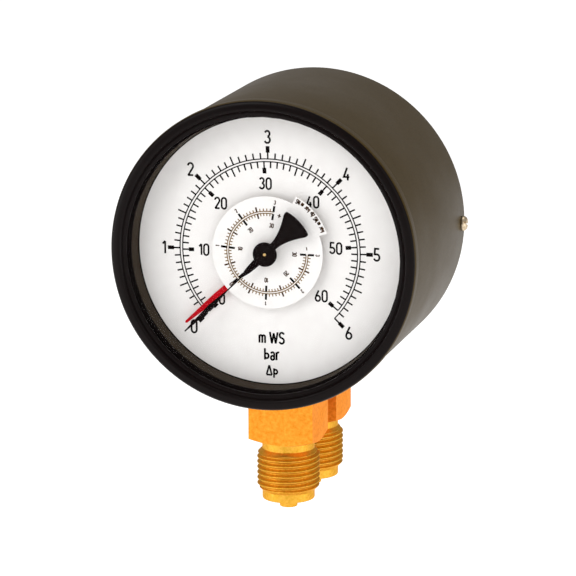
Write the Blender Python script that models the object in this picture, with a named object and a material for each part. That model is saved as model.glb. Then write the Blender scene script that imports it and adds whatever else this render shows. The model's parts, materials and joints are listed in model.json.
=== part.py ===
"""Duplex (differential) pressure gauge, nominal size 100, with two Bourdon tube systems.

Metres, +Z up. The origin is the centre of the front connection's sealing face, and the dial
looks along -Y. Everything that belongs to the dial hangs on the empty "dial_axis", whose local
X is right, local Y is up and local Z points at the reader, with Z = 0 on the dial's face.
"""

import math

import bmesh
import bpy

MM = 0.001

# Where things are
AXIS_HEIGHT = 88.4 * MM  # dial axis above the sealing faces
DIAL_SETBACK = 22.0 * MM  # dial face in front of the front connection's axis
STEM_PITCH = 31.0 * MM  # front connection to rear connection
PLATE_GAP = 0.3 * MM  # between pieces that rest on each other

# Case and window, depths from the dial's face
CASE_R = 50.5 * MM
CASE_WALL = 1.5 * MM
CASE_FRONT = 4.7 * MM
CASE_REAR = -63.5 * MM
BEZEL_R = 50.9 * MM
BEZEL_FRONT = 10.5 * MM
LIP_R = 45.3 * MM
LIP_FRONT = 9.1 * MM
BEZEL_SKIRT_R = 48.7 * MM
BEZEL_BORE_R = 47.9 * MM
GLASS_R = 47.5 * MM
GLASS_BACK = 6.8 * MM
GLASS_THICK = 2.0 * MM
RING_R = 44.05 * MM  # inner edge of the spacer ring on the dial
DIAL_R = 47.3 * MM
DIAL_THICK = 0.6 * MM
COVER_SCREW_Z = -59.5 * MM

# Connections
THREAD_R = 10.478 * MM  # G 1/2
THREAD_ROOT_R = 9.316 * MM
THREAD_PITCH = 1.814 * MM
THREAD_LOW = 2.85 * MM
THREAD_TURNS = 8
COLLAR_R = 8.75 * MM
SPIGOT_R = 3.0 * MM
SPIGOT_LENGTH = 3.0 * MM
PORT_R = 1.75 * MM
BLOCK_LOW = 20.0 * MM
BLOCK_X = 22.0 * MM
BLOCK_Y = 20.0 * MM
BLOCK_CHAMFER = math.radians(20)
BLOCK_TOP = AXIS_HEIGHT - 47.5 * MM  # before the case's saddle is cut
NECK_X = 12.0 * MM
NECK_Y = 14.0 * MM
NECK_LOW = AXIS_HEIGHT - 53.0 * MM
NECK_TOP = AXIS_HEIGHT - 27.0 * MM
CASE_SCREW_X = 8.4 * MM
SCREW_BORE_R = 1.7 * MM
TAPPED_BORE_R = 1.65 * MM
SCREW_SHANK_R = 1.45 * MM

# Bourdon tube, an arc that runs clockwise from the connection to its free end
TUBE_R = 36.0 * MM
TUBE_HALF_THICK = 2.5 * MM
TUBE_HALF_WIDE = 5.5 * MM
TUBE_WALL = 0.5 * MM
TUBE_ROOT = math.radians(266)
TUBE_END = math.radians(-5)

# Movement, in the plane of the dial
MODULE = 0.4 * MM
PINION_TEETH = 10
SECTOR_TEETH = 84  # of the full circle
CENTRE_DISTANCE = MODULE * (PINION_TEETH + SECTOR_TEETH) / 2
SECTOR_BEARING = math.radians(-48)  # direction from the arbor to the sector's pivot
POINTER_SWEEP = math.radians(270)
SECTOR_SWEEP = POINTER_SWEEP * PINION_TEETH / SECTOR_TEETH
SECTOR_ARM = 8.5 * MM
LINK_LENGTH = 13.0 * MM
TIP_TRAVEL_DIRECTION = math.radians(71.6)
ARBOR_R = 1.1 * MM
ARBOR_BORE_R = 0.75 * MM
POINTER_ARBOR_R = 0.6 * MM

# Depths of one movement, from its connection's axis
BACK_PLATE = (7.3 * MM, 8.5 * MM)
SECTOR_LAYER = (10.6 * MM, 11.4 * MM)
LINK_LAYER = (12.1 * MM, 12.7 * MM)
FRONT_PLATE = (13.3 * MM, 14.5 * MM)
SPRING_LAYER = (15.3 * MM, 16.1 * MM)
LUG_LAYER = (3.6 * MM, 6.0 * MM)

# Rotating disc and pointer, heights above the dial's face
DISC_R = 18.5 * MM
DISC_TAB_R = 21.2 * MM
DISC_TAB = (math.radians(20), math.radians(63))
DISC_LAYER = (2.3 * MM, 2.7 * MM)
MARK_LAYER = (1.6 * MM, 2.0 * MM)
MARK_ANGLE = math.radians(221.5)
MARK_REACH = 37.6 * MM
POINTER_ANGLE = math.radians(224.7)
POINTER_LAYER = (5.6 * MM, 6.0 * MM)
POINTER_REACH = 38.0 * MM
POINTER_HUB_R = 4.0 * MM

# Facets of a full circle
BIG = 48
STEM = 24
SMALL = 12
TINY = 10


# ------------------------------------------------------------------ tools


def clear_scene():
    for obj in list(bpy.data.objects):
        bpy.data.objects.remove(obj, do_unlink=True)


def material(name, colour, metallic, roughness):
    made = bpy.data.materials.new(name)
    made.use_nodes = True
    shader = made.node_tree.nodes["Principled BSDF"]
    shader.inputs["Base Color"].default_value = (*colour, 1.0)
    shader.inputs["Metallic"].default_value = metallic
    shader.inputs["Roughness"].default_value = roughness
    return made


def place(name, data, look, parent, location=(0, 0, 0), rotation=(0, 0, 0)):
    """An object with its material, put at a place in its parent's frame."""
    obj = bpy.data.objects.new(name, data)
    bpy.context.scene.collection.objects.link(obj)
    obj.parent = parent
    obj.location = location
    obj.rotation_euler = rotation
    if look is not None:
        data.materials.append(look)
    return obj


def empty(name, parent=None, location=(0, 0, 0), rotation=(0, 0, 0)):
    return place(name, None, None, parent, location, rotation)


def mesh_from(build, smooth=False):
    """A mesh made by a function that fills a bmesh."""
    work = bmesh.new()
    build(work)
    bmesh.ops.remove_doubles(work, verts=work.verts, dist=1e-6)
    bmesh.ops.recalc_face_normals(work, faces=work.faces)
    data = bpy.data.meshes.new("solid")
    work.to_mesh(data)
    work.free()
    if smooth:
        data.shade_smooth()
        data.set_sharp_from_angle(angle=math.radians(30))
    return data


def turned_mesh(profile, facets):
    """A profile of (radius, height) points, turned about Z."""

    def build(work):
        points = [work.verts.new((radius, 0, height)) for radius, height in profile]
        edges = []
        for start, end in zip(points, points[1:] + points[:1]):
            if max(start.co.x, end.co.x) > 0:
                edges.append(work.edges.new((start, end)))
        bmesh.ops.spin(
            work,
            geom=points + edges,
            cent=(0, 0, 0),
            axis=(0, 0, 1),
            angle=math.tau,
            steps=facets,
            use_merge=True,
        )

    return mesh_from(build, smooth=True)


def turned(name, profile, look, parent, location=(0, 0, 0), rotation=(0, 0, 0), facets=BIG):
    return place(name, turned_mesh(profile, facets), look, parent, location, rotation)


def sheet(name, outlines, layer, look, parent, location=(0, 0, 0), rotation=(0, 0, 0)):
    """A flat plate between two heights. The first outline is its edge, the others are holes."""
    data = bpy.data.curves.new(name, "CURVE")
    data.dimensions = "2D"
    data.fill_mode = "BOTH"
    data.extrude = (layer[1] - layer[0]) / 2
    for outline in outlines:
        spline = data.splines.new("POLY")
        spline.points.add(len(outline) - 1)
        for point, (x, y) in zip(spline.points, outline):
            point.co = (x, y, 0, 1)
        spline.use_cyclic_u = True
    x, y, z = location
    middle = (layer[0] + layer[1]) / 2
    return place(name, data, look, parent, (x, y, z + middle), rotation)


def solid_sheet(name, outlines, layer, look, parent):
    """The same flat plate as a mesh, which a Boolean can join."""
    flat = sheet(name, outlines, layer, None, parent)
    bpy.context.view_layer.update()
    graph = bpy.context.evaluated_depsgraph_get()
    data = bpy.data.meshes.new_from_object(flat.evaluated_get(graph))
    location = flat.location.copy()
    bpy.data.objects.remove(flat, do_unlink=True)
    work = bmesh.new()
    work.from_mesh(data)
    bmesh.ops.remove_doubles(work, verts=work.verts, dist=1e-6)
    bmesh.ops.recalc_face_normals(work, faces=work.faces)
    work.to_mesh(data)
    work.free()
    return place(name, data, look, parent, location)


def box_mesh(size):
    def build(work):
        bmesh.ops.create_cube(work, size=1)
        bmesh.ops.scale(work, vec=size, verts=work.verts)

    return mesh_from(build)


def cut(body, tool, operation="DIFFERENCE"):
    """Takes a helper out of a body, or joins it on, and keeps the helper out of the model."""
    tool.hide_render = True
    tool.display_type = "WIRE"
    modifier = body.modifiers.new(tool.name, "BOOLEAN")
    modifier.operation = operation
    modifier.object = tool


def cut_round(body, radius, length, parent, location, rotation=(0, 0, 0), facets=SMALL):
    profile = disc_profile(radius, -length / 2, length / 2)
    cut(body, turned("hole", profile, None, parent, location, rotation, facets))


def cut_box(body, size, parent, location, rotation=(0, 0, 0)):
    cut(body, place("notch", box_mesh(size), None, parent, location, rotation))


def polar(radius, angle):
    return radius * math.cos(angle), radius * math.sin(angle)


def arc(radius, start, end, steps, centre=(0, 0)):
    """Points of an arc, both ends included."""
    points = []
    for i in range(steps + 1):
        x, y = polar(radius, start + (end - start) * i / steps)
        points.append((centre[0] + x, centre[1] + y))
    return points


def circle(radius, facets=SMALL, centre=(0, 0)):
    return arc(radius, 0, math.tau, facets, centre)[:-1]


def tube_profile(inner, outer, low, high):
    return [(inner, high), (outer, high), (outer, low), (inner, low)]


def disc_profile(radius, low, high):
    return [(0, high), (radius, high), (radius, low), (0, low)]


def rod_profile(steps):
    """Profile of a stepped solid rod, from (low, high, radius) steps that follow each other."""
    points = [(0, steps[0][0])]
    for low, high, radius in steps:
        points += [(radius, low), (radius, high)]
    points.append((0, steps[-1][1]))
    return points[::-1]


def pan_screw(name, head_r, head_h, shank_r, length, look, parent, location, rotation=(0, 0, 0)):
    """A slotted pan head screw whose head sits on Z = 0 and whose shank runs down -Z."""
    profile = [
        (0, head_h),
        (0.6 * head_r, head_h),
        (head_r, 0.5 * head_h),
        (head_r, 0),
        (shank_r, 0),
        (shank_r, -length),
        (0, -length),
    ]
    made = turned(name, profile, look, parent, location, rotation, TINY)
    slot = (2.4 * head_r, 0.3 * head_r, head_h)
    cut(made, place("slot", box_mesh(slot), None, made, (0, 0, 0.95 * head_h)))
    return made


# ------------------------------------------------------------------ case, bezel and window


def case_shell(look, dial_axis):
    body = turned(
        "case_shell",
        tube_profile(CASE_R - CASE_WALL, CASE_R, CASE_REAR, CASE_FRONT),
        look,
        dial_axis,
    )
    slot_x = NECK_X + 2 * PLATE_GAP
    slot_y = NECK_Y + 2 * PLATE_GAP
    for stem_z in stem_depths():
        cut_box(body, (slot_x, 8 * MM, slot_y), dial_axis, (0, -CASE_R, stem_z))
        for side in (-1, 1):
            place_at = (side * CASE_SCREW_X, -CASE_R, stem_z)
            cut_round(body, SCREW_BORE_R, 8 * MM, dial_axis, place_at, (math.pi / 2, 0, 0))
    for angle in cover_screw_angles().values():
        x, y = polar(CASE_R, angle)
        cut_round(body, SCREW_BORE_R, 8 * MM, dial_axis, (x, y, COVER_SCREW_Z), outward(angle))
    return body


def stem_depths():
    """Local Z of the two connections' axes."""
    return -DIAL_SETBACK, -DIAL_SETBACK - STEM_PITCH


def cover_screw_angles():
    return {"right": 0.0, "left": math.pi}


def outward(angle):
    """Rotation that turns +Z to point outward in the dial's plane."""
    return 0, math.pi / 2, angle


def rear_cover(look, dial_axis):
    outer = CASE_R - CASE_WALL - PLATE_GAP
    profile = [
        (0, -60.6 * MM),
        (outer - 1.8 * MM, -60.6 * MM),
        (outer - 0.8 * MM, -59.6 * MM),
        (outer - 0.8 * MM, -54.0 * MM),
        (outer, -54.0 * MM),
        (outer, -60.0 * MM),
        (outer - 1.6 * MM, -61.6 * MM),
        (0, -61.6 * MM),
    ]
    body = turned("rear_cover", profile, look, dial_axis)
    cut_box(body, (NECK_X + 3 * MM, 6 * MM, 12 * MM), dial_axis, (0, -49 * MM, -54.3 * MM))
    for side in (-1, 1):
        place_at = (side * CASE_SCREW_X, -47 * MM, stem_depths()[1])
        cut_round(body, 2.6 * MM, 6 * MM, dial_axis, place_at, (math.pi / 2, 0, 0))
    for angle in cover_screw_angles().values():
        x, y = polar(CASE_R, angle)
        cut_round(body, TAPPED_BORE_R, 12 * MM, dial_axis, (x, y, COVER_SCREW_Z), outward(angle))
    return body


def cover_screws(look, dial_axis):
    for side, angle in cover_screw_angles().items():
        x, y = polar(CASE_R + 0.1 * MM, angle)
        location = (x, y, COVER_SCREW_Z)
        name = "cover_screw_" + side
        pan_screw(
            name, 2.5 * MM, 1.6 * MM, SCREW_SHANK_R, 4 * MM, look, dial_axis, location, outward(angle)
        )


def bezel_ring(look, dial_axis):
    crest = [
        (BEZEL_R, 9.2 * MM),
        (BEZEL_R - 0.5 * MM, 10.1 * MM),
        (BEZEL_R - 1.7 * MM, BEZEL_FRONT),
        (BEZEL_R - 3.2 * MM, 10.3 * MM),
        (BEZEL_R - 4.2 * MM, 9.6 * MM),
    ]
    profile = [
        (LIP_R, LIP_FRONT + 0.4 * MM),
        *crest[::-1],
        (BEZEL_R, 5.8 * MM),
        (BEZEL_R - 0.8 * MM, CASE_FRONT + PLATE_GAP),
        (BEZEL_SKIRT_R, CASE_FRONT + PLATE_GAP),
        (BEZEL_SKIRT_R, -DIAL_THICK),
        (BEZEL_BORE_R, -DIAL_THICK),
        (BEZEL_BORE_R, LIP_FRONT),
        (LIP_R, LIP_FRONT),
    ]
    return turned("bezel_ring", profile, look, dial_axis)


def window(glass_look, rubber_look, ring_look, dial_axis):
    glass_front = GLASS_BACK + GLASS_THICK
    turned("window_glass", disc_profile(GLASS_R, GLASS_BACK, glass_front), glass_look, dial_axis)
    gasket = tube_profile(RING_R + 0.9 * MM, GLASS_R, 5.7 * MM, GLASS_BACK - PLATE_GAP)
    turned("window_gasket", gasket, rubber_look, dial_axis)
    ring = [
        (RING_R + 0.75 * MM, 5.4 * MM),
        (GLASS_R, 5.4 * MM),
        (GLASS_R, PLATE_GAP),
        (RING_R, PLATE_GAP),
    ]
    turned("spacer_ring", ring, ring_look, dial_axis)


def dial(dial_look, steel_look, dial_axis):
    sheet(
        "dial_plate",
        [circle(DIAL_R, BIG), circle(5 * MM)],
        (-DIAL_THICK, 0),
        dial_look,
        dial_axis,
    )
    seat_top = -DIAL_THICK - PLATE_GAP
    profile = [
        (41.0 * MM, seat_top),
        (48.6 * MM, seat_top),
        (48.6 * MM, -6.5 * MM),
        (47.6 * MM, -6.5 * MM),
        (47.6 * MM, seat_top - 1.2 * MM),
        (41.0 * MM, seat_top - 1.2 * MM),
    ]
    turned("dial_seat_ring", profile, steel_look, dial_axis)


# ------------------------------------------------------------------ connections


def thread_profile():
    """Ridges of the thread from the bottom up, with both end ridges turned down."""
    points = [(COLLAR_R, THREAD_LOW)]
    for turn in range(THREAD_TURNS):
        low = THREAD_LOW + turn * THREAD_PITCH
        lowered = 0.7 * MM if turn in (0, THREAD_TURNS - 1) else 0
        if turn:
            points.append((THREAD_ROOT_R, low))
        points.append((THREAD_R - lowered, low + THREAD_PITCH / 2))
    points.append((COLLAR_R, THREAD_LOW + THREAD_TURNS * THREAD_PITCH))
    return points


def socket(name, look, dial_axis, stem_y, stem_z):
    """Threaded connection, square block with a saddle for the case, and the neck inside it."""
    stem = empty(name + "_axis", None, (0, stem_y, 0))
    joined = 21.0 * MM
    profile = [
        (PORT_R, -SPIGOT_LENGTH),
        (SPIGOT_R - 0.4 * MM, -SPIGOT_LENGTH),
        (SPIGOT_R, -SPIGOT_LENGTH + 0.4 * MM),
        (SPIGOT_R, 0),
        (COLLAR_R - 0.3 * MM, 0),
        (COLLAR_R, 0.3 * MM),
        *thread_profile(),
        (COLLAR_R, joined),
        (PORT_R, joined),
    ]
    turned_end = turned(name + "_turned", profile, look, stem, facets=STEM)

    block = place(
        name, box_mesh((BLOCK_X, BLOCK_Y, BLOCK_TOP - BLOCK_LOW)), look, stem,
        (0, 0, (BLOCK_TOP + BLOCK_LOW) / 2),
    )
    flat_r = BLOCK_Y / 2
    wide_r = 3 * flat_r
    rise = (wide_r - flat_r) * math.tan(BLOCK_CHAMFER)
    top = BLOCK_LOW + rise + 20 * MM
    cone = [
        (0, top),
        (wide_r, top),
        (wide_r, BLOCK_LOW + rise),
        (flat_r, BLOCK_LOW),
        (0, BLOCK_LOW - 0.5 * MM),
    ]
    cut(block, turned(name + "_chamfer", cone, None, stem, facets=BIG), "INTERSECT")
    saddle = disc_profile(CASE_R + PLATE_GAP, -80 * MM, 20 * MM)
    cut(block, turned(name + "_saddle", saddle, None, dial_axis))

    neck_size = (NECK_X, NECK_Y, NECK_TOP - NECK_LOW)
    neck = place(
        name + "_neck", box_mesh(neck_size), None, stem, (0, 0, (NECK_TOP + NECK_LOW) / 2)
    )
    cut(block, neck, "UNION")
    cut(block, turned_end, "UNION")

    tube_height = AXIS_HEIGHT - TUBE_R
    port = disc_profile(PORT_R, joined - 11 * MM, tube_height + 0.5 * MM)
    cut(block, turned("port", port, None, stem, facets=STEM))
    pocket = bourdon_mesh(TUBE_ROOT + math.radians(0.5), math.radians(250), 4, PLATE_GAP, False)
    cut(block, place("pocket", pocket, None, dial_axis, (0, 0, stem_z)))
    cut_round(
        block, 1.2 * MM, 5 * MM, stem, (-2 * MM, 0, tube_height), (0, math.pi / 2, 0), TINY
    )
    for side in (-1, 1):
        cut_round(block, TAPPED_BORE_R, 16 * MM, stem, (side * CASE_SCREW_X, 0, 39 * MM))
    for height in plate_screw_heights():
        at = (0, height, stem_z + NECK_Y / 2)
        cut_round(block, TAPPED_BORE_R, 9 * MM, dial_axis, at)
    return block


def plate_screw_heights():
    """Local Y of the screws that hold a movement on its connection."""
    return -30.0 * MM, -43.5 * MM


def case_screws(name, look, dial_axis, stem_z):
    """Two screws from inside the case into the shoulders of the block."""
    for count, side in enumerate((-1, 1), 1):
        pan_screw(
            f"{name}_case_screw_{count}", 2.05 * MM, 1.4 * MM, SCREW_SHANK_R, 7.5 * MM, look,
            dial_axis, (side * CASE_SCREW_X, -47.4 * MM, stem_z), (-math.pi / 2, 0, 0),
        )


# ------------------------------------------------------------------ Bourdon tube and linkage


def rounded_section(half_thick, half_wide, steps=2):
    """Points (across, along) of a flattened tube's section, all the way round."""
    straight = half_wide - half_thick
    points = arc(half_thick, 0, math.pi, 2 * steps, (0, straight))
    points += arc(half_thick, math.pi, math.tau, 2 * steps, (0, -straight))
    return points


def bourdon_mesh(start, end, steps, grown=0.0, hollow=True):
    """The tube's section swept round the dial axis, open at both ends when hollow."""

    def build(work):
        def loop(half_thick, half_wide):
            points = []
            for across, along in rounded_section(half_thick, half_wide):
                x, y = polar(TUBE_R + across, start)
                points.append(work.verts.new((x, y, along)))
            edges = []
            for first, second in zip(points, points[1:] + points[:1]):
                edges.append(work.edges.new((first, second)))
            return points, edges

        points, edges = loop(TUBE_HALF_THICK + grown, TUBE_HALF_WIDE + grown)
        if hollow:
            _, inner = loop(TUBE_HALF_THICK - TUBE_WALL, TUBE_HALF_WIDE - TUBE_WALL)
            bmesh.ops.bridge_loops(work, edges=edges + inner)
        else:
            work.faces.new(points)
        bmesh.ops.spin(
            work,
            geom=work.verts[:] + work.edges[:] + work.faces[:],
            cent=(0, 0, 0),
            axis=(0, 0, 1),
            angle=end - start,
            steps=steps,
        )

    return mesh_from(build)


def linkage():
    """Places in the dial's plane: sector pivot, span screw, tip pin and flexing centre.

    The link stands square to the sector's arm at half travel. The flexing centre is the point
    on the tube about which its free end swings out, square to the link as well.
    """
    pivot = polar(CENTRE_DISTANCE, SECTOR_BEARING)
    along = polar(1, TIP_TRAVEL_DIRECTION)
    across = (along[1], -along[0])
    arm_middle = math.atan2(across[1], across[0])
    x, y = polar(SECTOR_ARM, arm_middle - SECTOR_SWEEP / 2)
    span = (pivot[0] + x, pivot[1] + y)
    back = LINK_LENGTH - SECTOR_ARM * math.sin(SECTOR_SWEEP / 2)
    tip = tuple(
        pivot[i] + SECTOR_ARM * across[i] + back * along[i] for i in (0, 1)
    )
    reach = tip[0] * across[0] + tip[1] * across[1]
    reach += math.sqrt(reach**2 + TUBE_R**2 - tip[0] ** 2 - tip[1] ** 2)
    flex = tuple(tip[i] - reach * across[i] for i in (0, 1))
    return pivot, span, tip, flex


def hinged_at(name, dial_axis, point, stem_z):
    return empty(name, dial_axis, (point[0], point[1], stem_z))


def around(points, centre):
    """The same points, seen from a centre."""
    return [(x - centre[0], y - centre[1]) for x, y in points]


def tube_end(name, looks, dial_axis, stem_z):
    """End piece soldered in the tube's free end, with a lug that carries the link's pin."""
    _, _, tip, flex = linkage()
    hinge = hinged_at(name + "_tube_flex_axis", dial_axis, flex, stem_z)
    gap = math.radians(0.5)
    near, far = TUBE_END - gap, TUBE_END - math.radians(5)
    cap = arc(TUBE_R + 3.0 * MM, near, far, 2) + arc(TUBE_R - 3.0 * MM, far, near, 2)
    cap_layer = (-TUBE_HALF_WIDE - 0.3 * MM, TUBE_HALF_WIDE - 0.1 * MM)
    body = solid_sheet(name + "_tube_end", [around(cap, flex)], cap_layer, looks["brass"], hinge)
    lug = arc(2.0 * MM, math.pi / 2, 1.5 * math.pi, 6, tip)
    lug += [polar(TUBE_R + 2.5 * MM, far + gap), polar(TUBE_R + 2.5 * MM, near - gap)]
    hole = circle(0.97 * MM, SMALL, tip)
    outlines = [around(lug, flex), around(hole, flex)]
    cut(body, solid_sheet(name + "_lug", outlines, LUG_LAYER, None, hinge), "UNION")
    pin_at = (tip[0] - flex[0], tip[1] - flex[1], 0)
    rear_head = LUG_LAYER[0] - PLATE_GAP
    front_head = LINK_LAYER[1] + PLATE_GAP
    pin = rod_profile([
        (rear_head - 0.6 * MM, rear_head, 1.5 * MM),
        (rear_head, front_head, 0.9 * MM),
        (front_head, front_head + 0.6 * MM, 1.5 * MM),
    ])
    turned(name + "_tip_pin", pin, looks["steel"], hinge, pin_at, facets=SMALL)


def link(name, looks, dial_axis, stem_z):
    """Link bar between the tube's free end and the sector, with the span screw at its foot."""
    _, span, tip, _ = linkage()
    hinge = hinged_at(name + "_link_axis", dial_axis, tip, stem_z)
    foot = (span[0] - tip[0], span[1] - tip[1])
    lean = math.atan2(foot[1], foot[0])
    bar = arc(1.8 * MM, lean + math.pi / 2, lean + 1.5 * math.pi, 6)
    bar += arc(1.8 * MM, lean - math.pi / 2, lean + math.pi / 2, 6, foot)
    holes = [circle(0.97 * MM), circle(0.9 * MM, SMALL, foot)]
    sheet(name + "_link", [bar, *holes], LINK_LAYER, looks["brass"], hinge)
    nut = SECTOR_LAYER[0] - PLATE_GAP
    head = LINK_LAYER[1] + PLATE_GAP
    screw = rod_profile([
        (nut - 0.8 * MM, nut, 1.7 * MM),
        (nut, head, 0.8 * MM),
        (head, head + 0.7 * MM, 1.5 * MM),
    ])
    turned(name + "_span_screw", screw, looks["steel"], hinge, (*foot, 0), facets=SMALL)


def tooth_half_angle(teeth, thinned, radius):
    """Half of an involute tooth's angle at a radius, 20 degree pressure angle."""
    pitch_r = MODULE * teeth / 2
    pressure = math.radians(20)
    base_r = pitch_r * math.cos(pressure)
    local = math.acos(min(1.0, base_r / max(radius, base_r)))
    involute = (math.tan(pressure) - pressure) - (math.tan(local) - local)
    return math.pi / (2 * teeth) - thinned / pitch_r + involute


def gear_points(teeth, addendum, dedendum, thinned, angles):
    """Outline of the teeth at the given angles, counter-clockwise."""
    pitch_r = MODULE * teeth / 2
    root, tip = pitch_r - dedendum, pitch_r + addendum
    base = max(root, pitch_r * math.cos(math.radians(20)))
    flank = [base, (base + tip) / 2, tip]
    points = []
    for angle in angles:
        foot = tooth_half_angle(teeth, thinned, base)
        points.append(polar(root, angle - foot))
        points += [polar(r, angle - tooth_half_angle(teeth, thinned, r)) for r in flank]
        points += [polar(r, angle + tooth_half_angle(teeth, thinned, r)) for r in flank[::-1]]
        points.append(polar(root, angle + foot))
    return points


def sector(name, looks, dial_axis, stem_z):
    """Toothed sector on its staff, with the slotted arm that the link drives."""
    pivot, span, _, _ = linkage()
    hinge = hinged_at(name + "_sector_axis", dial_axis, pivot, stem_z)
    pitch = math.tau / SECTOR_TEETH
    mesh_angle = SECTOR_BEARING + math.pi
    first = -math.ceil(SECTOR_SWEEP / pitch) - 1.5
    count = int(-first + 2)
    angles = [mesh_angle + (first + tooth) * pitch for tooth in range(count)]
    outline = gear_points(SECTOR_TEETH, 0.24 * MM, 0.52 * MM, 0.05 * MM, angles)
    low, high = angles[0] - pitch / 2, angles[-1] + pitch / 2
    outline += [polar(13.0 * MM, high)]
    hub_r = 3.2 * MM
    arm_angle = math.atan2(span[1] - pivot[1], span[0] - pivot[0])
    outline += arc(hub_r, high + math.radians(25), arm_angle - 1.2 + math.tau, 6)
    end_r = SECTOR_ARM + 0.6 * MM
    end = polar(end_r, arm_angle)
    outline += arc(2.3 * MM, arm_angle - math.pi / 2, arm_angle + math.pi / 2, 6, end)
    outline += [polar(hub_r, arm_angle + 1.1), polar(13.0 * MM, low)]
    slot_r = 1.1 * MM
    inner = polar(SECTOR_ARM - 0.3 * MM, arm_angle)
    outer = polar(SECTOR_ARM + 0.3 * MM, arm_angle)
    slot = arc(slot_r, arm_angle + math.pi / 2, arm_angle + 1.5 * math.pi, 8, inner)
    slot += arc(slot_r, arm_angle - math.pi / 2, arm_angle + math.pi / 2, 8, outer)
    outlines = [outline, circle(1.4 * MM), slot]
    sheet(name + "_sector_gear", outlines, SECTOR_LAYER, looks["brass"], hinge)
    staff = rod_profile([
        (BACK_PLATE[0] + 0.1 * MM, BACK_PLATE[1] + 0.2 * MM, 0.7 * MM),
        (BACK_PLATE[1] + 0.2 * MM, FRONT_PLATE[0] - 0.2 * MM, 1.3 * MM),
        (FRONT_PLATE[0] - 0.2 * MM, FRONT_PLATE[1] - 0.1 * MM, 0.7 * MM),
    ])
    turned(name + "_sector_staff", staff, looks["steel"], hinge, facets=SMALL)


# ------------------------------------------------------------------ movement plates and springs


def pillar_places():
    return (-9.0 * MM, 6.0 * MM), (12.0 * MM, 8.0 * MM), (1.0 * MM, -25.0 * MM)


def plate_outline(foot):
    """Edge of a movement plate. The back plate has a foot that is screwed to the connection."""
    points = [
        (16.5 * MM, -18.0 * MM),
        (16.5 * MM, 8.5 * MM),
        (13.5 * MM, 11.5 * MM),
        (-9.5 * MM, 10.0 * MM),
        (-12.5 * MM, 7.0 * MM),
        (-12.5 * MM, 0.0),
        (-5.5 * MM, -27.0 * MM),
    ]
    if foot:
        points += [(-5.5 * MM, -46.5 * MM), (5.5 * MM, -46.5 * MM), (5.5 * MM, -28.0 * MM)]
    else:
        points += [(-2.5 * MM, -28.5 * MM), (4.5 * MM, -28.5 * MM)]
    return points


def movement_frame(name, looks, dial_axis, stem_z):
    pivot, _, _, _ = linkage()
    holes = [circle(1.22 * MM), circle(0.85 * MM, SMALL, pivot)]
    holes += [circle(1.1 * MM, SMALL, place_at) for place_at in pillar_places()]
    screw_holes = [circle(SCREW_BORE_R, SMALL, (0, height)) for height in plate_screw_heights()]
    origin = (0, 0, stem_z)
    back = [plate_outline(True), *holes, *screw_holes]
    sheet(name + "_back_plate", back, BACK_PLATE, looks["brass"], dial_axis, origin)
    spring_end = stud_place()
    front = [plate_outline(False), *holes, circle(0.65 * MM, SMALL, spring_end)]
    sheet(name + "_front_plate", front, FRONT_PLATE, looks["brass"], dial_axis, origin)
    pillar = rod_profile([
        (BACK_PLATE[0], BACK_PLATE[1] + PLATE_GAP, 0.9 * MM),
        (BACK_PLATE[1] + PLATE_GAP, FRONT_PLATE[0] - PLATE_GAP, 1.7 * MM),
        (FRONT_PLATE[0] - PLATE_GAP, FRONT_PLATE[1] + 0.2 * MM, 0.9 * MM),
    ])
    for count, (x, y) in enumerate(pillar_places(), 1):
        pillar_name = f"{name}_pillar_{count}"
        turned(pillar_name, pillar, looks["brass"], dial_axis, (x, y, stem_z), facets=TINY)
    for count, height in enumerate(plate_screw_heights(), 1):
        at = (0, height, stem_z + BACK_PLATE[1] + 0.1 * MM)
        screw_name = f"{name}_plate_screw_{count}"
        pan_screw(screw_name, 2.6 * MM, 1.5 * MM, SCREW_SHANK_R, 4.8 * MM, looks["steel"], dial_axis, at)


def stud_place():
    return polar(8.9 * MM, math.radians(150))


def hairspring(name, looks, dial_axis, stem_z):
    """Flat spiral spring between a collet on the arbor and a stud on the front plate."""
    turns = 3.0
    steps = int(18 * turns)
    half = 0.1 * MM
    start_r, end_r = 2.75 * MM, 8.0 * MM
    end_angle = math.radians(150)
    inner, outer = [], []
    for step in range(steps + 1):
        part = step / steps
        angle = end_angle - (1 - part) * turns * math.tau
        radius = start_r + (end_r - start_r) * part
        inner.append(polar(radius - half, angle))
        outer.append(polar(radius + half, angle))
    ribbon = outer + inner[::-1]
    origin = (0, 0, stem_z)
    sheet(name + "_hairspring", [ribbon], SPRING_LAYER, looks["spring"], dial_axis, origin)
    stud = rod_profile([
        (FRONT_PLATE[0] + 0.1 * MM, FRONT_PLATE[1] + 0.1 * MM, 0.5 * MM),
        (FRONT_PLATE[1] + 0.1 * MM, SPRING_LAYER[1] + 0.3 * MM, 0.75 * MM),
    ])
    x, y = stud_place()
    turned(name + "_spring_stud", stud, looks["brass"], dial_axis, (x, y, stem_z), facets=TINY)


def pinion(name, look, arbor_axis, stem_z):
    """Pinion and spring collet on an arbor."""
    pitch = math.tau / PINION_TEETH
    angles = [SECTOR_BEARING + tooth * pitch for tooth in range(PINION_TEETH)]
    outline = gear_points(PINION_TEETH, 0.36 * MM, 0.48 * MM, 0.05 * MM, angles)
    layer = (SECTOR_LAYER[0] - 0.8 * MM, SECTOR_LAYER[1] + 0.8 * MM)
    outlines = [outline, circle(ARBOR_R + 0.1 * MM)]
    sheet(name + "_pinion", outlines, layer, look, arbor_axis, (0, 0, stem_z))
    collet = tube_profile(ARBOR_R + 0.1 * MM, 2.3 * MM, 15.0 * MM, 16.3 * MM)
    collet_name = name + "_spring_collet"
    turned(collet_name, collet, look, arbor_axis, (0, 0, stem_z), facets=SMALL)


# ------------------------------------------------------------------ rotating disc and pointer


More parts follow.
